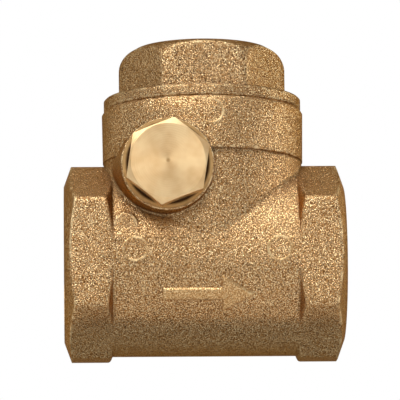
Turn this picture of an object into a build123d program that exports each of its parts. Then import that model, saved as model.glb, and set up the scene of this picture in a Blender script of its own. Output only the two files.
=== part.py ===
from build123d import *
import os
from math import cos, hypot, radians, sin, tan

# Swing check valve in hot-forged brass, nominal size 1 inch (DN 25), with two female
# G 1 pipe ends, a hexagon cover screwed into the neck, and a clapper hung on a pin
# that a hexagon plug in the side of the neck holds in place.
# Millimetres. The origin is the centre of the inlet mouth, +X is the way the water
# flows, +Z is up through the cover, and -Y faces the side with the plug.

# Pipe ends: G 1 thread, drawn as a plain bore at the thread's major radius
thread_r = 33.249 / 2
thread_length = 12.5

# Hexagon hubs at both ends, their top and bottom corners trimmed flat
face_to_face = 62.0
hub_across_flats = 41.1
hub_rest_height = 21.45
hub_length = 9.3
hub_slant = 1.7
hub_edge_r = 1.2
hub_shoulder_r = 0.8
end_rim = 0.675
end_chamfer_angle = 20.0

# Barrel between the hubs: its chamber is a little wider than the threads
chamber_step = 0.875
waist_wall = 3.0
seat_wall = 5.0

# Neck: an oval foot that grows out of the waist, and a round collar above it
neck_foot_z = 1.0
neck_foot_sink = 0.3
neck_side_taper = 0.45
neck_side_step = 0.2
neck_front_step = 1.15
neck_blend_r = 1.5
collar_bottom_z = 22.7
collar_top_z = 34.3
collar_wall = 3.4
collar_taper = 0.15
collar_chamfer = 0.55
collar_chamfer_height = 0.9

# Neck's bore under the cover's thread, coned where it meets the barrel
thread_relief = 1.2
neck_bore_cone_z = 8.0
neck_bore_tip_z = -10.0

# Seat: a raised ring round the port
port_r = 12.0
seat_width = 2.6
seat_ring_height = 3.1
seat_gap = 0.3

# Cover: hexagon head, round flange and a screwed skirt, hollow up to its crown
cover_thread_r = 19.0
thread_gap = 0.06
cover_bore_depth = 9.5
skirt_end_gap = 1.0
skirt_wall = 3.5
cover_flange_width = 2.95
cover_flange_height = 2.65
cover_edge_chamfer = 0.35
cover_across_flats = 32.3
cover_hex_height = 11.25
cover_edge_r = 0.6
cover_wall = 3.0
cover_crown_thickness = 4.0
cover_corner_reach = 2.4
cover_crown_r = 4.7
cover_crown_angle = 30.0
cover_top_setback = 1.2
gasket_width = 1.7
gasket_height = 1.2
gasket_gap = 0.1

# Side plug: it closes the pin's hole, and holds the pin's front end
plug_across_flats = 16.9
plug_head_height = 3.8
plug_face_setback = 0.3
plug_chamfer_angle = 30.0
plug_lean = 8.7
plug_shank_r = 6.5
plug_gasket_margin = 0.14
plug_gasket_height = 1.0
plug_entry_gap = 0.3

# Boss that the plug is screwed into
boss_rim = 0.25
boss_draft = 7.0
boss_stand = 1.5
boss_depth = 19.6

# Hinge pin, and the boss inside the back wall that carries its far end
pin_r = 2.5
pin_gap = 0.05
pin_end_gap = 0.4
pin_boss_wall = 2.0
pin_hole_depth = 4.4
plug_hole_depth = 6.0

# Clapper arm, whose hub hangs clear of the seat ring and of the seat wall
arm_hub_wall = 1.4
arm_side_play = 0.4
arm_hub_half_width = 12.2
arm_thickness = 3.2
arm_half_width = 5.0
arm_eye_wall = 3.9
hinge_seat_gap = 0.4
hinge_wall_gap = 1.2
stack_gap = 0.3

# Clapper disc with its stud, rubber facing, washer and nut
disc_rim = 0.8
disc_thickness = 3.0
disc_edge_chamfer = 0.4
disc_boss_wall = 3.0
disc_relief = 0.7
stud_r = 2.5
stud_gap = 0.08
stud_tip = 0.6
facing_lap = 1.0
facing_width = 2.2
facing_depth = 1.4
facing_stand = 0.3
washer_width = 2.7
washer_thickness = 0.9
nut_across_flats = 8.0
nut_height = 4.0

# Flat round mark of an ejector pin, half sunk in the waist below the boss
pad_r = 2.5
pad_offset_x = -17.6
pad_z = 6.2
pad_sink = 0.7

# Places and radii that follow from the sizes above
neck_x = face_to_face / 2
end_face_r = thread_r + end_rim
chamber_r = thread_r + chamber_step
waist_r = chamber_r + waist_wall
seat_wall_x = thread_length + seat_wall
seat_face_x = seat_wall_x + seat_ring_height
seat_ring_r = port_r + seat_width
outlet_thread_x = face_to_face - thread_length
neck_axis = Axis((neck_x, 0, 0), (0, 0, 1))
neck_bore_r = cover_thread_r - thread_relief
collar_r = cover_thread_r + collar_wall
collar_bottom_r = collar_r - collar_taper
neck_top_rx = collar_bottom_r - neck_side_step
neck_top_ry = collar_bottom_r - neck_front_step
neck_foot_rx = neck_top_rx - neck_side_taper
neck_foot_ry = waist_r - neck_foot_sink
cover_top_z = collar_top_z + cover_flange_height + cover_hex_height
arm_hub_r = pin_r + arm_hub_wall
arm_hub_y = arm_hub_half_width + arm_side_play
plug_x = seat_wall_x + hinge_wall_gap + arm_hub_r
plug_z = seat_ring_r + hinge_seat_gap + arm_hub_r
plug_reach_r = plug_across_flats / 2 / cos(radians(30))
plug_gasket_r = plug_reach_r + plug_gasket_margin
boss_r = plug_gasket_r + boss_rim
boss_face_y = neck_top_ry + boss_stand
facing_inner_r = port_r - facing_lap
facing_outer_r = facing_inner_r + facing_width
disc_r = facing_outer_r + disc_rim

# The stack on the stud, counted along +X from the seat
disc_front_x = seat_face_x + seat_gap + facing_stand
disc_back_x = disc_front_x + disc_thickness
arm_front_x = disc_back_x + stack_gap
arm_back_x = arm_front_x + arm_thickness
washer_x = arm_back_x + stack_gap
nut_x = washer_x + washer_thickness
stud_end_x = nut_x + nut_height + stud_tip

# Planes that face the front of the valve, one on the plug's axis and one on the neck's
plug_plane = Plane(origin=(plug_x, 0, plug_z), x_dir=(1, 0, 0), z_dir=(0, -1, 0))
front_plane = Plane(origin=(neck_x, 0, 0), x_dir=(1, 0, 0), z_dir=(0, -1, 0))


# Hub: a hexagon bar with flats to the front and back, turned to a chamfer at its mouth,
# whose shoulder slopes down to the barrel with a rounded edge
hub_reach_r = hub_across_flats / 2 / cos(radians(30))
end_chamfer_depth = (hub_reach_r - end_face_r) * tan(radians(end_chamfer_angle))

with BuildPart() as hub:
    with BuildSketch(Plane.YZ) as hub_section:
        RegularPolygon(hub_across_flats / 2, 6, major_radius=False, rotation=30)
        Rectangle(2 * hub_across_flats, 2 * hub_rest_height, mode=Mode.INTERSECT)
        fillet(hub_section.vertices(), hub_edge_r)
    extrude(amount=hub_length + hub_slant)
    with BuildSketch(Plane.XZ):
        with BuildLine():
            Polyline(
                (0, 0),
                (0, end_face_r),
                (end_chamfer_depth, hub_reach_r),
                (hub_length, hub_reach_r),
                (hub_length + hub_slant, waist_r - hub_slant / 2),
                (hub_length + hub_slant, 0),
                close=True,
            )
        make_face()
    revolve(axis=Axis.X, mode=Mode.INTERSECT)
    shoulder = hub.faces().filter_by(GeomType.CONE).sort_by(Axis.X)[-1]
    fillet(shoulder.edges().filter_by(GeomType.CIRCLE, reverse=True), hub_shoulder_r)


# Neck core: the hollow of the neck, which the seat wall cuts off flat on the inlet side
# and which leaves a boss on the back wall for the pin
with BuildPart() as neck_core:
    with BuildSketch(Plane.XZ):
        with BuildLine():
            Polyline(
                (neck_x, neck_bore_tip_z),
                (neck_x + neck_bore_r, neck_bore_cone_z),
                (neck_x + neck_bore_r, collar_top_z - cover_bore_depth),
                (neck_x, collar_top_z - cover_bore_depth),
                close=True,
            )
        make_face()
    revolve(axis=neck_axis)
    split(bisect_by=Plane.YZ.offset(seat_wall_x))
    with BuildSketch(plug_plane.offset(-arm_hub_y)):
        Circle(pin_r + pin_boss_wall)
    extrude(amount=-neck_bore_r, mode=Mode.SUBTRACT)


# Body: one forging with its two hubs, waist, neck, plug boss, seat wall and seat
boss_root_r = boss_r + boss_depth * tan(radians(boss_draft))


def on_neck_crease(edge):
    """True for an edge where the neck's oval foot meets the round waist, clear of the boss."""
    spots = [edge @ share for share in (0.1, 0.5, 0.9)]
    off_waist = max(abs(hypot(spot.Y, spot.Z) - waist_r) for spot in spots)
    from_boss = hypot(spots[1].X - plug_x, spots[1].Z - plug_z)
    return edge.geom_type == GeomType.BSPLINE and off_waist < 0.01 and from_boss > boss_root_r


with BuildPart() as body:
    with BuildSketch(Plane.YZ.offset(end_chamfer_depth)):
        Circle(waist_r)
    extrude(amount=face_to_face - 2 * end_chamfer_depth)
    with BuildSketch(Plane.XY.offset(neck_foot_z)):
        with Locations((neck_x, 0)):
            Ellipse(neck_foot_rx, neck_foot_ry)
    with BuildSketch(Plane.XY.offset(collar_bottom_z)):
        with Locations((neck_x, 0)):
            Ellipse(neck_top_rx, neck_top_ry)
    loft()
    with BuildSketch(Plane.XY.offset(collar_bottom_z)):
        with Locations((neck_x, 0)):
            Ellipse(neck_top_rx, neck_top_ry)
    extrude(amount=collar_top_z - collar_bottom_z - collar_chamfer_height)
    with BuildSketch(plug_plane.offset(boss_face_y - boss_depth)):
        Circle(boss_root_r)
    extrude(amount=boss_depth, taper=boss_draft)
    fillet(body.edges().filter_by(on_neck_crease), neck_blend_r)
    add(hub.part)
    mirror(hub.part, about=Plane.YZ.offset(neck_x))
    with BuildSketch(Plane.XZ):
        with BuildLine():
            Polyline(
                (neck_x, collar_bottom_z),
                (neck_x + collar_bottom_r, collar_bottom_z),
                (neck_x + collar_r, collar_top_z - collar_chamfer_height),
                (neck_x + collar_r - collar_chamfer, collar_top_z),
                (neck_x, collar_top_z),
                close=True,
            )
        make_face()
    revolve(axis=neck_axis)
    with BuildSketch(front_plane.offset(waist_r - pad_sink - pad_r)):
        with Locations((pad_offset_x, pad_z)):
            Circle(pad_r)
    extrude(amount=pad_r)

    # Hollow of the barrel and the neck
    with BuildSketch(Plane.YZ.offset(seat_wall_x)):
        Circle(chamber_r)
    extrude(amount=outlet_thread_x - seat_wall_x, mode=Mode.SUBTRACT)
    add(neck_core.part, mode=Mode.SUBTRACT)
    with BuildSketch(Plane.XY.offset(collar_top_z)):
        with Locations((neck_x, 0)):
            Circle(cover_thread_r)
    extrude(amount=-cover_bore_depth, mode=Mode.SUBTRACT)

    # Seat ring and port
    with BuildSketch(Plane.YZ.offset(seat_wall_x)):
        Circle(seat_ring_r)
    extrude(amount=seat_ring_height)
    with BuildSketch(Plane.YZ):
        Circle(port_r)
    extrude(amount=seat_face_x, mode=Mode.SUBTRACT)

    # Pipe threads, which a mouth opened to their major radius leads into
    for thread_x in (0, outlet_thread_x):
        with BuildSketch(Plane.YZ.offset(thread_x)):
            Circle(thread_r)
        extrude(amount=thread_length, mode=Mode.SUBTRACT)

    # Hole for the plug's shank, and the blind hole for the pin in the back wall
    with BuildSketch(plug_plane.offset(boss_face_y)):
        Circle(plug_shank_r + thread_gap)
    extrude(amount=-(boss_face_y - arm_hub_y + plug_shank_r / 2), mode=Mode.SUBTRACT)
    with BuildSketch(plug_plane.offset(-arm_hub_y)):
        Circle(pin_r + pin_gap)
    extrude(amount=-pin_hole_depth, mode=Mode.SUBTRACT)


# Cover gasket: a flat ring in the step between the flange and the skirt
with BuildPart() as cap_gasket:
    with BuildSketch(Plane.XY.offset(collar_top_z)):
        with Locations((neck_x, 0)):
            Circle(cover_thread_r + gasket_gap + gasket_width)
            Circle(cover_thread_r + gasket_gap, mode=Mode.SUBTRACT)
    extrude(amount=gasket_height)


# Cover: hexagon with a crowned top, flange with the gasket's recess, hollow skirt
skirt_r = cover_thread_r - thread_gap
skirt_length = cover_bore_depth - skirt_end_gap
cover_flange_r = cover_thread_r + cover_flange_width
cover_hex_z = collar_top_z + cover_flange_height
crown_angle = radians(cover_crown_angle)
cover_corner_r = cover_across_flats / 2 + cover_corner_reach
cover_top_flat_r = cover_across_flats / 2 - cover_top_setback
crown_inner_r = cover_corner_r - cover_crown_r * (1 - sin(crown_angle))
crown_end_z = cover_top_z - (crown_inner_r - cover_top_flat_r) * tan(crown_angle)
crown_start_z = crown_end_z - cover_crown_r * cos(crown_angle)

with BuildPart() as cover_cap:
    with BuildSketch(Plane.XY.offset(cover_hex_z)) as cover_section:
        with Locations((neck_x, 0)):
            RegularPolygon(cover_across_flats / 2, 6, major_radius=False)
        fillet(cover_section.vertices(), cover_edge_r)
    extrude(amount=cover_hex_height)
    with BuildSketch(Plane.XZ):
        with BuildLine():
            corner_x = neck_x + cover_corner_r
            side = Line((corner_x, cover_hex_z), (corner_x, crown_start_z))
            bend = JernArc(side @ 1, (0, 1), cover_crown_r, 90 - cover_crown_angle)
            slope = Line(bend @ 1, (neck_x + cover_top_flat_r, cover_top_z))
            Polyline(slope @ 1, (neck_x, cover_top_z), (neck_x, cover_hex_z), side @ 0)
        make_face()
    revolve(axis=neck_axis, mode=Mode.INTERSECT)
    with BuildSketch(Plane.XZ):
        with BuildLine():
            Polyline(
                (neck_x, collar_top_z - skirt_length),
                (neck_x + skirt_r - cover_edge_chamfer, collar_top_z - skirt_length),
                (neck_x + skirt_r, collar_top_z - skirt_length + cover_edge_chamfer),
                (neck_x + skirt_r, collar_top_z),
                (neck_x + cover_flange_r - cover_edge_chamfer, collar_top_z),
                (neck_x + cover_flange_r, collar_top_z + cover_edge_chamfer),
                (neck_x + cover_flange_r, cover_hex_z - cover_edge_chamfer),
                (neck_x + cover_flange_r - cover_edge_chamfer, cover_hex_z),
                (neck_x, cover_hex_z),
                close=True,
            )
        make_face()
    revolve(axis=neck_axis)
    with BuildSketch(Plane.XY.offset(collar_top_z)):
        with Locations((neck_x, 0)):
            Circle(cover_thread_r + 2 * gasket_gap + gasket_width)
            Circle(skirt_r, mode=Mode.SUBTRACT)
    extrude(amount=gasket_height, mode=Mode.SUBTRACT)
    with BuildSketch(Plane.XY.offset(collar_top_z - skirt_length)):
        with Locations((neck_x, 0)):
            Circle(skirt_r - skirt_wall)
    extrude(amount=skirt_length, mode=Mode.SUBTRACT)
    with BuildSketch(Plane.XY.offset(collar_top_z)):
        with Locations((neck_x, 0)):
            Circle(cover_across_flats / 2 - cover_wall)
    extrude(amount=cover_top_z - cover_crown_thickness - collar_top_z, mode=Mode.SUBTRACT)


# Sealing washer under the plug's head
head_y = boss_face_y + plug_gasket_height

with BuildPart() as plug_gasket:
    with BuildSketch(plug_plane.offset(boss_face_y)):
        Circle(plug_gasket_r)
        Circle(plug_shank_r + plug_entry_gap, mode=Mode.SUBTRACT)
    extrude(amount=plug_gasket_height)


# Plug: turned hexagon head with a faced front, plain shank, and a socket for the pin
plug_face_r = plug_across_flats / 2 - plug_face_setback
plug_chamfer_depth = (plug_reach_r - plug_face_r) * tan(radians(plug_chamfer_angle))

with BuildPart() as hinge_plug:
    with BuildSketch(plug_plane.offset(head_y)):
        RegularPolygon(plug_across_flats / 2, 6, major_radius=False, rotation=30 - plug_lean)
    extrude(amount=plug_head_height)
    with BuildSketch(Plane.YZ.offset(plug_x)):
        with BuildLine():
            Polyline(
                (-head_y, plug_z),
                (-head_y, plug_z + plug_reach_r),
                (-head_y - plug_head_height + plug_chamfer_depth, plug_z + plug_reach_r),
                (-head_y - plug_head_height, plug_z + plug_face_r),
                (-head_y - plug_head_height, plug_z),
                close=True,
            )
        make_face()
    revolve(axis=Axis((plug_x, 0, plug_z), (0, 1, 0)), mode=Mode.INTERSECT)
    with BuildSketch(plug_plane.offset(arm_hub_y)):
        Circle(plug_shank_r)
    extrude(amount=head_y - arm_hub_y)
    with BuildSketch(plug_plane.offset(arm_hub_y)):
        Circle(pin_r + pin_gap)
    extrude(amount=plug_hole_depth, mode=Mode.SUBTRACT)


# Hinge pin, from the plug's socket to the blind hole in the back wall
pin_front_y = arm_hub_y + plug_hole_depth - pin_end_gap
pin_back_y = arm_hub_y + pin_hole_depth - pin_end_gap

with BuildPart() as hinge_pin:
    with BuildSketch(plug_plane.offset(-pin_back_y)):
        Circle(pin_r)
    extrude(amount=pin_front_y + pin_back_y)
    chamfer(hinge_pin.edges(), pin_end_gap)


# Clapper arm: a long hub on the pin, a tapered web, and an eye for the disc's stud
hub_web_z = plug_z - arm_hub_r * cos(radians(30))
web_top_x = plug_x + arm_hub_r * sin(radians(60))
web_top_z = plug_z + arm_hub_r * cos(radians(60))

with BuildPart() as clapper_arm:
    with BuildSketch(plug_plane.offset(-arm_hub_half_width)):
        Circle(arm_hub_r)
    extrude(amount=2 * arm_hub_half_width)
    with BuildSketch(Plane.XZ):
        with BuildLine():
            Polyline(
                (arm_front_x, 0),
                (arm_back_x, 0),
                (arm_back_x, hub_web_z - arm_thickness),
                (web_top_x, web_top_z),
                (plug_x, plug_z),
                (arm_front_x, hub_web_z),
                close=True,
            )
        make_face()
    extrude(amount=arm_half_width, both=True)
    with BuildSketch(Plane.YZ.offset(arm_front_x)):
        Circle(stud_r + arm_eye_wall)
    extrude(amount=arm_thickness)
    with BuildSketch(Plane.YZ.offset(arm_front_x)):
        Circle(stud_r + stud_gap)
    extrude(amount=arm_thickness, mode=Mode.SUBTRACT)
    with BuildSketch(plug_plane.offset(-arm_hub_half_width)):
        Circle(pin_r + pin_gap)
    extrude(amount=2 * arm_hub_half_width, mode=Mode.SUBTRACT)


# Clapper disc: turned in one with its stud, grooved for the facing
with BuildPart() as clapper_disc:
    with BuildSketch(Plane.XZ):
        with BuildLine():
            Polyline(
                (disc_front_x, 0),
                (disc_front_x, disc_r - disc_edge_chamfer),
                (disc_front_x + disc_edge_chamfer, disc_r),
                (disc_back_x - disc_relief - disc_edge_chamfer, disc_r),
                (disc_back_x - disc_relief, disc_r - disc_edge_chamfer),
                (disc_back_x - disc_relief, stud_r + disc_boss_wall + disc_relief),
                (disc_back_x, stud_r + disc_boss_wall),
                (disc_back_x, stud_r),
                (stud_end_x - stud_tip, stud_r),
                (stud_end_x, stud_r - stud_tip),
                (stud_end_x, 0),
                close=True,
            )
        make_face()
    revolve(axis=Axis.X)
    with BuildSketch(Plane.YZ.offset(disc_front_x)):
        Circle(facing_outer_r)
        Circle(facing_inner_r, mode=Mode.SUBTRACT)
    extrude(amount=facing_depth, mode=Mode.SUBTRACT)


# Rubber facing, which stands a little proud of the disc and closes on the seat ring
with BuildPart() as disc_facing:
    with BuildSketch(Plane.YZ.offset(disc_front_x - facing_stand)):
        Circle(facing_outer_r)
        Circle(facing_inner_r, mode=Mode.SUBTRACT)
    extrude(amount=facing_stand + facing_depth)


# Washer and nut that hold the disc loosely on the arm
with BuildPart() as disc_washer:
    with BuildSketch(Plane.YZ.offset(washer_x)):
        Circle(stud_r + washer_width)
        Circle(stud_r + stud_gap, mode=Mode.SUBTRACT)
    extrude(amount=washer_thickness)

with BuildPart() as disc_nut:
    with BuildSketch(Plane.YZ.offset(nut_x)):
        RegularPolygon(nut_across_flats / 2, 6, major_radius=False)
        Circle(stud_r, mode=Mode.SUBTRACT)
    extrude(amount=nut_height)


pieces = {
    "body": body,
    "cover_cap": cover_cap,
    "cap_gasket": cap_gasket,
    "hinge_plug": hinge_plug,
    "plug_gasket": plug_gasket,
    "hinge_pin": hinge_pin,
    "clapper_arm": clapper_arm,
    "clapper_disc": clapper_disc,
    "disc_facing": disc_facing,
    "disc_washer": disc_washer,
    "disc_nut": disc_nut,
}

os.makedirs("parts", exist_ok=True)
for node, piece in pieces.items():
    piece.part.label = node
    export_step(piece.part, f"parts/{node}.step")
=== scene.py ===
"""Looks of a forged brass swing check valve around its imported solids, in metres."""
import math

import bmesh
import bpy
import numpy as np
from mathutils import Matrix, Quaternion, Vector


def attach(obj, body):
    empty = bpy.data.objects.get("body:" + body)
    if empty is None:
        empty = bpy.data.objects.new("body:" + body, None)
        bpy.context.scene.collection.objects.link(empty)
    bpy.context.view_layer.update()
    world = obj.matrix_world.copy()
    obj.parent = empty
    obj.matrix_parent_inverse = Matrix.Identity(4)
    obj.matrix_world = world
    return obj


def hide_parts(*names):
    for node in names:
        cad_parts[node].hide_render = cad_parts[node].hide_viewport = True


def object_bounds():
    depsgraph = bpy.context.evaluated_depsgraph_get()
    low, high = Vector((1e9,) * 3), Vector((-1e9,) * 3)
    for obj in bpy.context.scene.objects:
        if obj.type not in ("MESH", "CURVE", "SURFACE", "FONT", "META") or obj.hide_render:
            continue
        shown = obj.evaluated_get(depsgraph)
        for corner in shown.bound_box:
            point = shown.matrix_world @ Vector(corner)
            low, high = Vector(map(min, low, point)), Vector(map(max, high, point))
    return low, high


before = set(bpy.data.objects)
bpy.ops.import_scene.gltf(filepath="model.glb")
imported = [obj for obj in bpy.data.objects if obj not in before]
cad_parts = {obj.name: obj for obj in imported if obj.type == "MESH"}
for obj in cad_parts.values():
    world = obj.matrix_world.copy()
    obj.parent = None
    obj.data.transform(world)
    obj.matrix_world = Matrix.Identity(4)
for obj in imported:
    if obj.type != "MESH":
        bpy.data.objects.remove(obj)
cad_low, cad_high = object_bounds()
MM = 0.001

# Sizes of the valve that the looks follow
face_to_face = 62.0 * MM
neck_x = face_to_face / 2
waist_r = 20.5 * MM
thread_major_r = 16.6245 * MM
thread_pitch = 2.309 * MM
thread_depth = 1.479 * MM
thread_length = 12.5 * MM
smooth_bore = 8.2 * MM
collar_r = 22.36 * MM
plug_axis = Vector((22.6, 0, 18.9)) * MM
# The washer is painted in the plug head's shade inside the first radius, fading out by the second
washer_full_shade_r = 8.9 * MM
washer_shade_edge_r = 9.4 * MM

# Edges that turn by more degrees than this stay sharp when the faces beside them are smooth
body_sharp_angle = 32
node_sharp_angle = 25


# Colours and shader nodes

def linear(code):
    """Linear red, green, blue and an alpha of 1 from an sRGB hex code."""
    channels = [int(code[i:i + 2], 16) / 255 for i in (0, 2, 4)]
    return [c / 12.92 if c <= 0.04045 else ((c + 0.055) / 1.055) ** 2.4 for c in channels] + [1]


def add_node(tree, kind, inputs, **settings):
    """Adds one shader node: settings are its properties, inputs its values or the sockets that feed it.

    A Mix node of colours goes from its socket 6 to its socket 7, and gives the mixed colour at output 2.
    """
    node = tree.nodes.new(kind)
    for name, value in settings.items():
        setattr(node, name, value)
    for name, value in inputs.items():
        if isinstance(value, bpy.types.NodeSocket):
            tree.links.new(value, node.inputs[name])
        else:
            node.inputs[name].default_value = value
    return node


def new_finish(name):
    """An empty material, its node tree and the socket of its Object coordinates."""
    material = bpy.data.materials.new(name)
    material.use_nodes = True
    tree = material.node_tree
    tree.nodes.clear()
    place = add_node(tree, "ShaderNodeTexCoord", {}).outputs["Object"]
    return material, tree, place


def ring_scale(period):
    """The scale at which a Wave Texture's rings are one period apart."""
    return math.tau / 20 / period


def blasted_brass(name, hollow, skin, painted_glint, depth):
    """A brass skin blasted with shot: brown hollows, a pebbled skin and crests painted pale as glints.

    Its corners get a painted highlight in patches, and its creases a dull brown painted shade.
    """
    dent_width = 0.32 * MM
    facet_width = 0.2 * MM
    wave_length = 3.2 * MM
    patch_width = 1.8 * MM
    edge_radius = 1.0 * MM
    corner_highlight_reach = 0.8 * MM
    crease_reach = 2.4 * MM
    material, tree, place = new_finish(name)

    # The shot leaves dents about 0.3 mm wide and finer facets, and the die a slow waviness
    dents = add_node(
        tree, "ShaderNodeTexNoise",
        {"Vector": place, "Scale": 1 / dent_width, "Detail": 2.0, "Roughness": 0.6},
    ).outputs["Fac"]
    facets = add_node(
        tree, "ShaderNodeTexNoise", {"Vector": place, "Scale": 1 / facet_width, "Detail": 1.0}
    ).outputs["Fac"]
    waves = add_node(
        tree, "ShaderNodeTexNoise", {"Vector": place, "Scale": 1 / wave_length, "Detail": 2.0}
    ).outputs["Fac"]
    height = add_node(
        tree, "ShaderNodeMath", {0: waves, 1: 0.5, 2: dents}, operation="MULTIPLY_ADD"
    ).outputs["Value"]
    soft_edge = add_node(tree, "ShaderNodeBevel", {"Radius": edge_radius}, samples=8).outputs["Normal"]
    pebbled = add_node(
        tree, "ShaderNodeBump",
        {"Strength": 1.0, "Distance": depth, "Height": height, "Normal": soft_edge},
    ).outputs["Normal"]

    raised = add_node(
        tree, "ShaderNodeMapRange", {"Value": dents, "From Min": 0.38, "From Max": 0.58}
    ).outputs["Result"]
    pebbles = add_node(
        tree, "ShaderNodeMix", {"Factor": raised, 6: linear(hollow), 7: linear(skin)}, data_type="RGBA"
    ).outputs[2]
    # Painted glints: the crests of the fine facets take a pale colour over the random grain
    crests = add_node(
        tree, "ShaderNodeMapRange", {"Value": facets, "From Min": 0.52, "From Max": 0.62}
    ).outputs["Result"]
    grain_with_painted_sparkle = add_node(
        tree, "ShaderNodeMix", {"Factor": crests, 6: pebbles, 7: linear(painted_glint)}, data_type="RGBA"
    ).outputs[2]
    roughness = add_node(
        tree, "ShaderNodeMapRange",
        {"Value": facets, "From Min": 0.4, "From Max": 0.62, "To Min": 0.5, "To Max": 0.24},
    ).outputs["Result"]

    # At a corner the rays into the metal soon come out of the next face; there a highlight is painted in
    # patches
    depth_inside = add_node(
        tree, "ShaderNodeAmbientOcclusion", {"Distance": corner_highlight_reach},
        samples=8, inside=True, only_local=True,
    ).outputs["AO"]
    near_corner = add_node(
        tree, "ShaderNodeMapRange", {"Value": depth_inside, "From Min": 0.92, "From Max": 0.7}
    ).outputs["Result"]
    blotches = add_node(
        tree, "ShaderNodeTexNoise", {"Vector": place, "Scale": 1 / patch_width, "Detail": 3.0}
    ).outputs["Fac"]
    patches = add_node(
        tree, "ShaderNodeMapRange", {"Value": blotches, "From Min": 0.46, "From Max": 0.6}
    ).outputs["Result"]
    painted_corner_highlight = add_node(
        tree, "ShaderNodeMath", {0: near_corner, 1: patches}, operation="MULTIPLY"
    ).outputs["Value"]
    with_corner_highlight = add_node(
        tree, "ShaderNodeMix", {"Factor": painted_corner_highlight, 6: grain_with_painted_sparkle, 7: linear(painted_glint)}, data_type="RGBA"
    ).outputs[2]

    # Painted shade: where the surfaces close in round a crease, the skin is painted a dull brown
    openness = add_node(
        tree, "ShaderNodeAmbientOcclusion", {"Distance": crease_reach}, samples=8, only_local=True
    ).outputs["AO"]
    painted_crease_shade = add_node(
        tree, "ShaderNodeMapRange",
        {"Value": openness, "From Min": 0.45, "From Max": 0.9, "To Min": 0.6, "To Max": 0.0},
    ).outputs["Result"]
    colour = add_node(
        tree, "ShaderNodeMix", {"Factor": painted_crease_shade, 6: with_corner_highlight, 7: linear("6E5840")}, data_type="RGBA"
    ).outputs[2]
    shader = add_node(tree, "ShaderNodeBsdfPrincipled", {
        "Base Color": colour,
        "Metallic": 1.0,
        "Roughness": roughness,
        "Specular Tint": linear("C49B68"),
        "Normal": pebbled,
    }).outputs["BSDF"]
    add_node(tree, "ShaderNodeOutputMaterial", {"Surface": shader})
    return material


def hot_forged_brass():
    """Hot-forged brass, blasted, as on the body: warm brown with bright crests."""
    return blasted_brass("hot_forged_brass", "603919", "BD8B54", "FFE2AE", depth=0.18 * MM)


def forged_cover_brass():
    """The cover's skin: the same blast, a shade darker than the body."""
    return blasted_brass("forged_cover_brass", "5B361B", "B28350", "F2D7A5", depth=0.18 * MM)


def rubbed_forging():
    """The same skin where it stands proud and is rubbed bright, as on raised marks."""
    return blasted_brass("rubbed_forging", "9C7040", "CFA26A", "FBDDA8", depth=0.08 * MM)


def machined_brass():
    """Brass faced in a lathe: bright, with fine tool marks round the pipe's axis."""
    feed = 0.7 * MM
    cloud_width = 5 * MM
    mark_depth = 0.012 * MM
    material, tree, place = new_finish("machined_brass")
    marks = add_node(
        tree, "ShaderNodeTexWave",
        {"Vector": place, "Scale": ring_scale(feed), "Distortion": 0.6, "Detail": 1.0},
        wave_type="RINGS", rings_direction="X",
    ).outputs["Fac"]
    grooved = add_node(
        tree, "ShaderNodeBump", {"Strength": 0.5, "Distance": mark_depth, "Height": marks}
    ).outputs["Normal"]
    clouds = add_node(
        tree, "ShaderNodeTexNoise", {"Vector": place, "Scale": 1 / cloud_width, "Detail": 2.0}
    ).outputs["Fac"]
    colour = add_node(
        tree, "ShaderNodeMix", {"Factor": clouds, 6: linear("A98657"), 7: linear("BD9A69")},
        data_type="RGBA",
    ).outputs[2]
    roughness = add_node(
        tree, "ShaderNodeMapRange", {"Value": marks, "To Min": 0.26, "To Max": 0.36}
    ).outputs["Result"]
    shader = add_node(tree, "ShaderNodeBsdfPrincipled", {
        "Base Color": colour,
        "Metallic": 1.0,
        "Roughness": roughness,
        "Normal": grooved,
    }).outputs["BSDF"]
    add_node(tree, "ShaderNodeOutputMaterial", {"Surface": shader})
    return material


def round_the_plug(tree, place):
    """Place counted from the plug's axis, the direction round that axis, and the distance from it."""
    centred = add_node(
        tree, "ShaderNodeVectorMath", {0: place, 1: plug_axis}, operation="SUBTRACT"
    ).outputs["Vector"]
    round_axis = add_node(
        tree, "ShaderNodeVectorMath", {0: (0, 1, 0), 1: centred}, operation="CROSS_PRODUCT"
    ).outputs["Vector"]
    from_axis = add_node(
        tree, "ShaderNodeVectorMath", {0: round_axis}, operation="LENGTH"
    ).outputs["Value"]
    return centred, round_axis, from_axis


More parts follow.
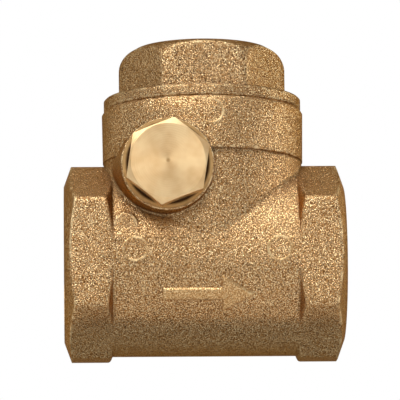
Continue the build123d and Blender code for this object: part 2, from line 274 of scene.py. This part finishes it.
def turned_brass():
    """Bar brass turned bright: faint rings of tool marks round the plug's axis and a centre pip."""
    # The real feed is about 0.1 mm a turn, drawn here at 0.5 mm so that it shows
    feed = 0.5 * MM
    mark_depth = 0.02 * MM
    cloud_width = 4 * MM
    smear_width = 1.2 * MM
    pip_r, pip_edge_r = 0.2 * MM, 0.6 * MM
    material, tree, place = new_finish("turned_brass")
    centred, round_axis, from_axis = round_the_plug(tree, place)
    marks = add_node(
        tree, "ShaderNodeTexWave",
        {"Vector": centred, "Scale": ring_scale(feed), "Distortion": 1.5, "Detail": 1.0},
        wave_type="RINGS", rings_direction="Y",
    ).outputs["Fac"]
    grooved = add_node(
        tree, "ShaderNodeBump", {"Strength": 0.5, "Distance": mark_depth, "Height": marks}
    ).outputs["Normal"]
    clouds = add_node(
        tree, "ShaderNodeTexNoise", {"Vector": place, "Scale": 1 / cloud_width, "Detail": 2.0}
    ).outputs["Fac"]
    patches = add_node(
        tree, "ShaderNodeMapRange", {"Value": clouds, "From Min": 0.35, "From Max": 0.65}
    ).outputs["Result"]
    brass = add_node(
        tree, "ShaderNodeMix", {"Factor": patches, 6: linear("E8C08A"), 7: linear("F8D7A3")},
        data_type="RGBA",
    ).outputs[2]
    pip = add_node(
        tree, "ShaderNodeMapRange",
        {"Value": from_axis, "From Min": pip_r, "From Max": pip_edge_r, "To Min": 1.0, "To Max": 0.0},
    ).outputs["Result"]
    colour = add_node(
        tree, "ShaderNodeMix", {"Factor": pip, 6: brass, 7: linear("C49C68")}, data_type="RGBA"
    ).outputs[2]
    smears = add_node(
        tree, "ShaderNodeTexNoise", {"Vector": place, "Scale": 1 / smear_width, "Detail": 2.0}
    ).outputs["Fac"]
    roughness = add_node(
        tree, "ShaderNodeMapRange",
        {"Value": smears, "From Min": 0.3, "From Max": 0.7, "To Min": 0.4, "To Max": 0.5},
    ).outputs["Result"]
    shader = add_node(tree, "ShaderNodeBsdfPrincipled", {
        "Base Color": colour,
        "Metallic": 1.0,
        "Roughness": roughness,
        "Anisotropic": 0.35,
        "Tangent": round_axis,
        "Normal": grooved,
    }).outputs["BSDF"]
    add_node(tree, "ShaderNodeOutputMaterial", {"Surface": shader})
    return material


def cast_brass():
    """Brass cast in sand: satin, a little grainy, browner than the turned parts."""
    sand_grain = 0.5 * MM
    grain_depth = 0.05 * MM
    material, tree, place = new_finish("cast_brass")
    sand = add_node(
        tree, "ShaderNodeTexNoise", {"Vector": place, "Scale": 1 / sand_grain, "Detail": 3.0}
    ).outputs["Fac"]
    grainy = add_node(
        tree, "ShaderNodeBump", {"Strength": 0.8, "Distance": grain_depth, "Height": sand}
    ).outputs["Normal"]
    colour = add_node(
        tree, "ShaderNodeMix", {"Factor": sand, 6: linear("96703E"), 7: linear("C69A5E")},
        data_type="RGBA",
    ).outputs[2]
    roughness = add_node(
        tree, "ShaderNodeMapRange",
        {"Value": sand, "From Min": 0.3, "From Max": 0.7, "To Min": 0.5, "To Max": 0.38},
    ).outputs["Result"]
    shader = add_node(tree, "ShaderNodeBsdfPrincipled", {
        "Base Color": colour,
        "Metallic": 0.95,
        "Roughness": roughness,
        "Normal": grainy,
    }).outputs["BSDF"]
    add_node(tree, "ShaderNodeOutputMaterial", {"Surface": shader})
    return material


def soft_washer_brass():
    """Annealed brass of a sealing washer: dull, with faint scuffs, and a painted shade from the plug's
    head round its inner part.
    """
    scuff_width = 0.8 * MM
    material, tree, place = new_finish("soft_washer_brass")
    from_axis = round_the_plug(tree, place)[2]
    scuffs = add_node(
        tree, "ShaderNodeTexNoise", {"Vector": place, "Scale": 1 / scuff_width, "Detail": 4.0}
    ).outputs["Fac"]
    scuffed_tone = add_node(
        tree, "ShaderNodeMix", {"Factor": scuffs, 6: linear("B88E58"), 7: linear("D6B07A")},
        data_type="RGBA",
    ).outputs[2]
    # Painted shade: towards the plug's axis the washer goes dark, where the head casts its shadow
    out_of_head_shade = add_node(
        tree, "ShaderNodeMapRange",
        {"Value": from_axis, "From Min": washer_full_shade_r, "From Max": washer_shade_edge_r},
    ).outputs["Result"]
    colour = add_node(
        tree, "ShaderNodeMix", {"Factor": out_of_head_shade, 6: linear("3E2A18"), 7: scuffed_tone}, data_type="RGBA"
    ).outputs[2]
    roughness = add_node(
        tree, "ShaderNodeMapRange",
        {"Value": scuffs, "From Min": 0.3, "From Max": 0.7, "To Min": 0.3, "To Max": 0.5},
    ).outputs["Result"]
    shader = add_node(tree, "ShaderNodeBsdfPrincipled", {
        "Base Color": colour,
        "Metallic": 1.0,
        "Roughness": roughness,
    }).outputs["BSDF"]
    add_node(tree, "ShaderNodeOutputMaterial", {"Surface": shader})
    return material


def compressed_fibre():
    """Compressed fibre sheet: grey-green, matt, with short fibres."""
    fibre_spacing = 0.7 * MM
    fibre_height = 0.03 * MM
    material, tree, place = new_finish("compressed_fibre")
    fibres = add_node(
        tree, "ShaderNodeTexNoise",
        {"Vector": place, "Scale": 1 / fibre_spacing, "Detail": 5.0, "Roughness": 0.7},
    ).outputs["Fac"]
    fibrous = add_node(
        tree, "ShaderNodeBump", {"Strength": 0.6, "Distance": fibre_height, "Height": fibres}
    ).outputs["Normal"]
    colour = add_node(
        tree, "ShaderNodeMix", {"Factor": fibres, 6: linear("39443A"), 7: linear("7C8676")},
        data_type="RGBA",
    ).outputs[2]
    shader = add_node(
        tree, "ShaderNodeBsdfPrincipled", {"Base Color": colour, "Roughness": 0.85, "Normal": fibrous}
    ).outputs["BSDF"]
    add_node(tree, "ShaderNodeOutputMaterial", {"Surface": shader})
    return material


def moulded_nitrile():
    """Nitrile rubber, moulded: black and matt with a faint bloom."""
    bloom_width = 2.5 * MM
    material, tree, place = new_finish("moulded_nitrile")
    bloom = add_node(
        tree, "ShaderNodeTexNoise", {"Vector": place, "Scale": 1 / bloom_width, "Detail": 4.0}
    ).outputs["Fac"]
    colour = add_node(
        tree, "ShaderNodeMix", {"Factor": bloom, 6: linear("161616"), 7: linear("2B2A29")},
        data_type="RGBA",
    ).outputs[2]
    roughness = add_node(
        tree, "ShaderNodeMapRange",
        {"Value": bloom, "From Min": 0.3, "From Max": 0.7, "To Min": 0.55, "To Max": 0.75},
    ).outputs["Result"]
    shader = add_node(
        tree, "ShaderNodeBsdfPrincipled", {"Base Color": colour, "Roughness": roughness}
    ).outputs["BSDF"]
    add_node(tree, "ShaderNodeOutputMaterial", {"Surface": shader})
    return material


def turned_steel():
    """Stainless steel, turned and ground: cool grey with fine marks round the stud's axis."""
    feed = 0.5 * MM
    mark_depth = 0.01 * MM
    material, tree, place = new_finish("turned_steel")
    marks = add_node(
        tree, "ShaderNodeTexWave",
        {"Vector": place, "Scale": ring_scale(feed), "Distortion": 0.8, "Detail": 1.0},
        wave_type="RINGS", rings_direction="X",
    ).outputs["Fac"]
    grooved = add_node(
        tree, "ShaderNodeBump", {"Strength": 0.3, "Distance": mark_depth, "Height": marks}
    ).outputs["Normal"]
    colour = add_node(
        tree, "ShaderNodeMix", {"Factor": marks, 6: linear("A9A7A3"), 7: linear("C4C2BE")},
        data_type="RGBA",
    ).outputs[2]
    shader = add_node(tree, "ShaderNodeBsdfPrincipled", {
        "Base Color": colour,
        "Metallic": 1.0,
        "Roughness": 0.3,
        "Normal": grooved,
    }).outputs["BSDF"]
    add_node(tree, "ShaderNodeOutputMaterial", {"Surface": shader})
    return material


# Meshes

def new_piece(name, mesh, body, slot, *materials):
    """Links a mesh as a piece that rides on a body and takes the given materials; its slot is not used.
    """
    piece = bpy.data.objects.new(name, mesh)
    bpy.context.scene.collection.objects.link(piece)
    for material in materials:
        mesh.materials.append(material)
    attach(piece, body)
    return piece


def merged_mesh(node, sharp_angle):
    """A copy of a node's mesh with its loose triangles joined, smooth but for edges over sharp_angle."""
    same_point = 0.002 * MM
    no_length = 0.001 * MM
    mesh = bpy.data.meshes.new(node + "_surface")
    shell = bmesh.new()
    shell.from_mesh(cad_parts[node].data)
    bmesh.ops.remove_doubles(shell, verts=shell.verts, dist=same_point)
    bmesh.ops.dissolve_degenerate(shell, dist=no_length, edges=shell.edges)
    shell.to_mesh(mesh)
    shell.free()
    mesh.materials.clear()
    # The stored corner normals belong to the loose triangles and lean over once these are joined
    stored = mesh.attributes.get("custom_normal")
    if stored:
        mesh.attributes.remove(stored)
    mesh.set_sharp_from_angle(angle=math.radians(sharp_angle))
    return mesh


def face_centres(mesh):
    """Centres of a mesh's faces, as an array."""
    centres = np.empty(len(mesh.polygons) * 3)
    mesh.polygons.foreach_get("center", centres)
    return centres.reshape(-1, 3)


def grid_mesh(name, points):
    """A sheet of quads over an array of points with two parameters."""
    rows, columns = points.shape[:2]
    first = (np.arange(rows - 1)[:, None] * columns + np.arange(columns - 1)).ravel()
    quads = np.stack([first, first + 1, first + columns + 1, first + columns], axis=1)
    mesh = bpy.data.meshes.new(name)
    mesh.from_pydata(points.reshape(-1, 3).tolist(), [], quads.tolist())
    mesh.shade_smooth()
    return mesh


# Pieces

forged = hot_forged_brass()
darker_forged = forged_cover_brass()
rubbed = rubbed_forging()
machined = machined_brass()
turned = turned_brass()
cast = cast_brass()
washer_brass = soft_washer_brass()
fibre = compressed_fibre()
rubber = moulded_nitrile()
steel = turned_steel()


def dress_body():
    """The forging: its skin is blasted, its end planes, mouths and bores are machined."""
    mesh = merged_mesh("body", body_sharp_angle)
    piece = new_piece("forged_body", mesh, "housing", "forged_brass", forged, machined)
    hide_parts("body")
    slack = 0.05 * MM
    centres = face_centres(mesh)
    radius = np.hypot(centres[:, 1], centres[:, 2])
    from_end = np.minimum(centres[:, 0], face_to_face - centres[:, 0])
    end_planes = from_end < slack
    bores = (radius < thread_major_r + slack) & (from_end < thread_length + smooth_bore)
    cut = end_planes | bores
    mesh.polygons.foreach_set("material_index", cut.astype(np.int32))


def dress_node(node, name, body, slot, material):
    """A node whose form is right as it is, with smooth round faces and its finish."""
    piece = new_piece(name, merged_mesh(node, node_sharp_angle), body, slot, material)
    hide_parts(node)


dress_body()
dress_node("cover_cap", "forged_cover", "housing", "forged_brass", darker_forged)
dress_node("cap_gasket", "fibre_ring", "housing", "gasket_fibre", fibre)
dress_node("hinge_plug", "turned_plug", "housing", "turned_brass", turned)
dress_node("plug_gasket", "sealing_washer", "housing", "sealing_brass", washer_brass)
dress_node("hinge_pin", "steel_pin", "housing", "stainless_steel", steel)
dress_node("clapper_arm", "cast_arm", "clapper", "cast_brass", cast)
dress_node("clapper_disc", "turned_disc", "disc", "turned_brass", machined)
dress_node("disc_facing", "rubber_facing", "disc", "black_rubber", rubber)
dress_node("disc_washer", "steel_washer", "disc", "stainless_steel", steel)
dress_node("disc_nut", "steel_nut", "disc", "stainless_steel", steel)


# Marks that stand up from the forging's skin

mark_step = 0.12 * MM
mark_sink = 0.08 * MM


def raised_mark(name, half_width, half_height, height_at, wrap):
    """A sheet over u and v whose points stand height_at(u, v) off the surface that wrap bends it on.

    Where the height is below the surface the sheet is left out, so only the mark itself is kept.
    """
    u = np.linspace(-half_width, half_width, int(2 * half_width / mark_step) + 1)
    v = np.linspace(-half_height, half_height, int(2 * half_height / mark_step) + 1)
    across, up = np.meshgrid(u, v)
    height = height_at(across, up)
    mesh = grid_mesh(name, wrap(across, up, height))
    shell = bmesh.new()
    shell.from_mesh(mesh)
    shell.verts.ensure_lookup_table()
    sunk = [shell.verts[i] for i in np.flatnonzero(height.ravel() < -0.9 * mark_sink)]
    bmesh.ops.delete(shell, geom=sunk, context="VERTS")
    shell.to_mesh(mesh)
    shell.free()
    new_piece(name, mesh, "housing", "forged_brass", rubbed)


def on_waist(x, z):
    """Bends a sheet round the pipe's axis, on the front of the waist: u runs along X, v upwards."""
    def wrap(u, v, height):
        angle = math.asin(z / waist_r) + v / waist_r
        reach = waist_r + height
        return np.stack([x + u, -reach * np.cos(angle), reach * np.sin(angle)], axis=2)
    return wrap


def on_collar(x, z):
    """Bends a sheet round the neck's axis, on the front of the collar: u runs round it, v upwards."""
    def wrap(u, v, height):
        angle = math.asin((x - neck_x) / collar_r) + u / collar_r
        reach = collar_r + height
        return np.stack([neck_x + reach * np.sin(angle), -reach * np.cos(angle), z + v], axis=2)
    return wrap


def pin_rim(fade):
    """A round rim, a bell curve across its radius, faded towards -u by the given share."""
    rim_r, rim_width, rim_height = 2.6 * MM, 0.22 * MM, 0.3 * MM

    def height_at(u, v):
        radius = np.hypot(u, v)
        side = 1 - fade * (0.5 - 0.5 * u / np.maximum(radius, 0.01 * MM))
        bell = np.exp(-((radius - rim_r) / rim_width) ** 2)
        return (rim_height + mark_sink) * side * bell - mark_sink
    return height_at


def flow_arrow(u, v):
    """An arrow along +u: a bar joined to a triangle, its edges eased over a narrow band.

    The signed distance is the lower of the bar's and the triangle's, each the highest of its sides'.
    """
    bar_start, bar_end, bar_half = -9.5 * MM, 4.5 * MM, 1.3 * MM
    base, tip, half = 3.5 * MM, 10.5 * MM, 4.0 * MM
    eased, arrow_height = 0.6 * MM, 0.5 * MM
    bar = np.maximum(np.abs(v) - bar_half, np.maximum(bar_start - u, u - bar_end))
    slope = half / (tip - base)
    side = (np.abs(v) - slope * (tip - u)) / math.hypot(1, slope)
    distance = np.minimum(bar, np.maximum(side, base - u))
    inside = np.clip(0.5 - distance / eased, 0, 1)
    return (arrow_height + mark_sink) * inside * inside * (3 - 2 * inside) - mark_sink


raised_mark("pin_mark_inlet", 3.4 * MM, 3.4 * MM, pin_rim(fade=0.0), on_waist(x=15.4 * MM, z=0.6 * MM))
raised_mark("pin_mark_outlet", 3.4 * MM, 3.4 * MM, pin_rim(fade=0.0), on_waist(x=47.0 * MM, z=0.6 * MM))
raised_mark("pin_mark_collar", 3.2 * MM, 2.9 * MM, pin_rim(fade=0.9), on_collar(x=32.3 * MM, z=30.7 * MM))
raised_mark("flow_arrow", 11.2 * MM, 4.6 * MM, flow_arrow, on_waist(x=neck_x, z=-9.2 * MM))


# Pipe threads in both mouths

def pipe_thread(name, mouth_x, inward):
    """A right-hand ridge round the pipe's axis over s turns and t across one pitch.

    x = mouth + inward * pitch * (s + t), angle = inward * 2 pi s, and the radius is the major one
    less the depth times (1 + cos 2 pi t) / 2, which fades in and out over the end turns. The roots
    lie root_sink outside the bore, so that only the ridge shows.
    """
    points_a_turn, points_across = 90, 13
    fade_in_turns, fade_out_turns = 1.4, 1.0
    root_sink = 0.03 * MM
    turns = thread_length / thread_pitch
    s = np.linspace(0.5, turns - 0.5, int(points_a_turn * (turns - 1)))[:, None]
    t = np.linspace(-0.5, 0.5, points_across)[None, :]
    fade_in = np.clip((s + t) / fade_in_turns, 0, 1)
    fade_out = np.clip((turns - s - t) / fade_out_turns, 0, 1)
    crest = (0.5 + 0.5 * np.cos(math.tau * t)) * fade_in * fade_out
    radius = thread_major_r + root_sink - (thread_depth + root_sink) * crest
    x = mouth_x + inward * thread_pitch * (s + t)
    angle = inward * math.tau * s + 0 * t
    points = np.stack([x, radius * np.cos(angle), radius * np.sin(angle)], axis=2)
    new_piece(name, grid_mesh(name, points), "housing", "forged_brass", machined)


pipe_thread("inlet_thread", 0, 1)
pipe_thread("outlet_thread", face_to_face, -1)


# Floor and backdrop: one pale sheet, open from below because the camera looks up from under it

def pale_paper():
    """Matt white paper, clear from its underside, far out, and to the short rays of what stands on it."""
    camera_glow = 0.45
    contact_reach = 8 * MM
    fade_start, fade_end = 250 * MM, 600 * MM
    material, tree, place = new_finish("pale_paper")
    rays = add_node(tree, "ShaderNodeLightPath", {}).outputs
    matt = add_node(tree, "ShaderNodeBsdfDiffuse", {"Color": linear("F4F4F4")}).outputs["BSDF"]
    # To the camera alone the paper glows a little, so that it looks white in plain light
    glow = add_node(
        tree, "ShaderNodeMath", {0: rays["Is Camera Ray"], 1: camera_glow}, operation="MULTIPLY"
    ).outputs["Value"]
    lift = add_node(tree, "ShaderNodeEmission", {"Strength": glow}).outputs["Emission"]
    paper = add_node(tree, "ShaderNodeAddShader", {0: matt, 1: lift}).outputs["Shader"]

    clear = add_node(tree, "ShaderNodeBsdfTransparent", {}).outputs["BSDF"]
    behind = add_node(tree, "ShaderNodeNewGeometry", {}).outputs["Backfacing"]
    contact = add_node(
        tree, "ShaderNodeMath", {0: rays["Ray Length"], 1: contact_reach}, operation="LESS_THAN"
    ).outputs["Value"]
    from_middle = add_node(tree, "ShaderNodeVectorMath", {0: place}, operation="LENGTH").outputs["Value"]
    far_out = add_node(
        tree, "ShaderNodeMapRange", {"Value": from_middle, "From Min": fade_start, "From Max": fade_end}
    ).outputs["Result"]
    near_or_far = add_node(
        tree, "ShaderNodeMath", {0: contact, 1: far_out}, operation="MAXIMUM"
    ).outputs["Value"]
    open_part = add_node(
        tree, "ShaderNodeMath", {0: behind, 1: near_or_far}, operation="MAXIMUM"
    ).outputs["Value"]
    surface = add_node(tree, "ShaderNodeMixShader", {0: open_part, 1: paper, 2: clear}).outputs["Shader"]
    add_node(tree, "ShaderNodeOutputMaterial", {"Surface": surface})
    return material


def lay_floor():
    """A flat square sheet just under the valve's lowest edge."""
    reach = 800 * MM
    gap = 0.2 * MM
    edge = np.linspace(-reach, reach, 9)
    across, along = np.meshgrid(edge, edge)
    height = np.full_like(across, cad_low[2] - gap)
    mesh = grid_mesh("floor", np.stack([across, along, height], axis=2))
    mesh.materials.append(pale_paper())
    floor = bpy.data.objects.new("floor", mesh)
    bpy.context.scene.collection.objects.link(floor)


lay_floor()


# Light: a dim room that looks white, and soft lamps in front, above and at both sides

def light_room(background, light, in_gloss):
    """White to camera and transmission rays, dim as a light, and in between to glossy rays."""
    world = bpy.data.worlds.new("studio")
    bpy.context.scene.world = world
    world.use_nodes = True
    tree = world.node_tree
    tree.nodes.clear()
    rays = add_node(tree, "ShaderNodeLightPath", {}).outputs
    camera_or_gloss = add_node(
        tree, "ShaderNodeMath", {0: rays["Is Glossy Ray"], 1: in_gloss, 2: rays["Is Camera Ray"]},
        operation="MULTIPLY_ADD",
    ).outputs["Value"]
    seen = add_node(
        tree, "ShaderNodeMath", {0: camera_or_gloss, 1: rays["Is Transmission Ray"]}, operation="ADD"
    ).outputs["Value"]
    strength = add_node(
        tree, "ShaderNodeMapRange",
        {"Value": seen, "From Min": 0.0, "From Max": 1.0, "To Min": light, "To Max": background},
    ).outputs["Result"]
    shine = add_node(
        tree, "ShaderNodeBackground", {"Color": (1, 1, 1, 1), "Strength": strength}
    ).outputs["Background"]
    add_node(tree, "ShaderNodeOutputWorld", {"Surface": shine})


lamp_distance = 1100 * MM
lamp_side = 300 * MM
lit_height = 10 * MM


def hang_lamp(name, azimuth, elevation, power):
    """A soft square lamp turned to the valve, at degrees round from its front and up from level."""
    round_angle, up_angle = math.radians(azimuth), math.radians(elevation)
    way = Vector((math.sin(round_angle), -math.cos(round_angle), math.tan(up_angle))).normalized()
    lamp = bpy.data.lights.new(name, "AREA")
    lamp.shape = "SQUARE"
    lamp.size = lamp_side
    lamp.energy = power
    holder = bpy.data.objects.new(name, lamp)
    holder.location = Vector((neck_x, 0, lit_height)) + lamp_distance * way
    holder.rotation_euler = (-way).to_track_quat("-Z", "Y").to_euler()
    bpy.context.scene.collection.objects.link(holder)


light_room(background=1.0, light=0.19, in_gloss=0.25)
hang_lamp("front", 0, 35, power=2.5)
hang_lamp("high_front", 0, 62, power=1.3)
hang_lamp("top", 0, 85, power=1.9)
hang_lamp("left", -40, 45, power=3.6)
hang_lamp("left_rim", -110, 20, power=0.65)
hang_lamp("right", 90, 15, power=2.0)
hang_lamp("right_rim", 125, 20, power=0.8)


# Camera: in front of the valve, a little to the inlet's side and lower than the pipe's axis

def set_camera():
    """A long lens at the photo's viewing angle, aimed at the middle of the picture."""
    distance = 983 * MM
    turn = math.radians(-2.0)
    roll = math.radians(0.6)
    below_pipe = 144.8 * MM
    aim = Vector((neck_x - 0.65 * MM, 0, 14.5 * MM))
    place = Vector((neck_x + distance * math.sin(turn), -distance * math.cos(turn), -below_pipe))
    camera = bpy.data.cameras.new("camera")
    camera.lens = 402.2
    camera.sensor_width = 36
    camera.clip_start = 50 * MM
    holder = bpy.data.objects.new("camera", camera)
    look = (aim - place).to_track_quat("-Z", "Y")
    holder.location = place
    holder.rotation_euler = (look @ Quaternion((0, 0, 1), -roll)).to_euler()
    bpy.context.scene.collection.objects.link(holder)
    bpy.context.scene.camera = holder


set_camera()
bpy.context.scene.view_settings.view_transform = "Standard"
